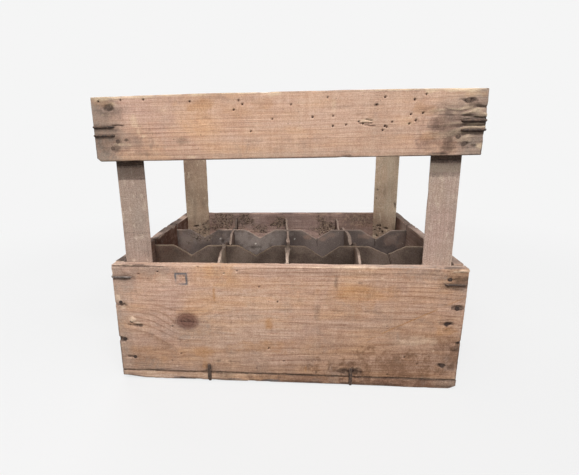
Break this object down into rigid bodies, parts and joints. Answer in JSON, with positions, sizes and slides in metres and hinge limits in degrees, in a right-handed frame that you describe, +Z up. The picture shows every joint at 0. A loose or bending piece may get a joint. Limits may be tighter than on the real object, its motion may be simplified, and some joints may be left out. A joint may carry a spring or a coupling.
{
  "type": "wooden bottle crate",
  "caption": "Open wooden bottle crate: low nailed box with an interlocking notched divider grid, triangular corner posts and a raised top frame for carrying and stacking.",
  "frame": {"origin": "middle of the underside, on the ground", "axes": "+X along the length to the right, +Y from front to back, +Z up"},
  "size_m": [0.4082, 0.3152, 0.331],
  "materials": {
    "board_wood": "weathered raw pine",
    "post_wood": "greyed raw pine",
    "plank_wood": "dark worn pine",
    "divider_sheet": "dusty hardboard",
    "iron_wire": "dark rusted iron wire",
    "iron_nail": "dark rusted iron"
  },
  "bodies": {
    "root": {"front_board": "board_wood", "back_board": "board_wood", "left_end_board": "board_wood", "right_end_board": "board_wood", "bottom_plank_front": "plank_wood", "bottom_plank_middle": "plank_wood", "bottom_plank_back": "plank_wood", "post_front_left": "post_wood", "post_front_right": "post_wood", "post_back_left": "post_wood", "post_back_right": "post_wood", "front_rail": "board_wood", "back_rail": "board_wood", "left_rail": "board_wood", "right_rail": "board_wood", "long_divider_front": "divider_sheet", "long_divider_back": "divider_sheet", "cross_divider_left": "divider_sheet", "cross_divider_middle": "divider_sheet", "cross_divider_right": "divider_sheet", "frame_wire_upper_front_left": "iron_wire", "frame_wire_lower_front_left": "iron_wire", "frame_wire_upper_front_right": "iron_wire", "frame_wire_lower_front_right": "iron_wire", "frame_wire_upper_back_left": "iron_wire", "frame_wire_lower_back_left": "iron_wire", "frame_wire_upper_back_right": "iron_wire", "frame_wire_lower_back_right": "iron_wire", "box_wire_front_left": "iron_wire", "box_wire_front_right": "iron_wire", "box_wire_back_left": "iron_wire", "box_wire_back_right": "iron_wire", "bottom_wire_left": "iron_wire", "bottom_wire_right": "iron_wire", "front_board_nails": "iron_nail", "back_board_nails": "iron_nail", "left_end_nails": "iron_nail", "right_end_nails": "iron_nail", "front_rail_nails": "iron_nail", "back_rail_nails": "iron_nail", "left_rail_nails": "iron_nail", "right_rail_nails": "iron_nail", "bottom_nails": "iron_nail"}
  },
  "joints": []
}
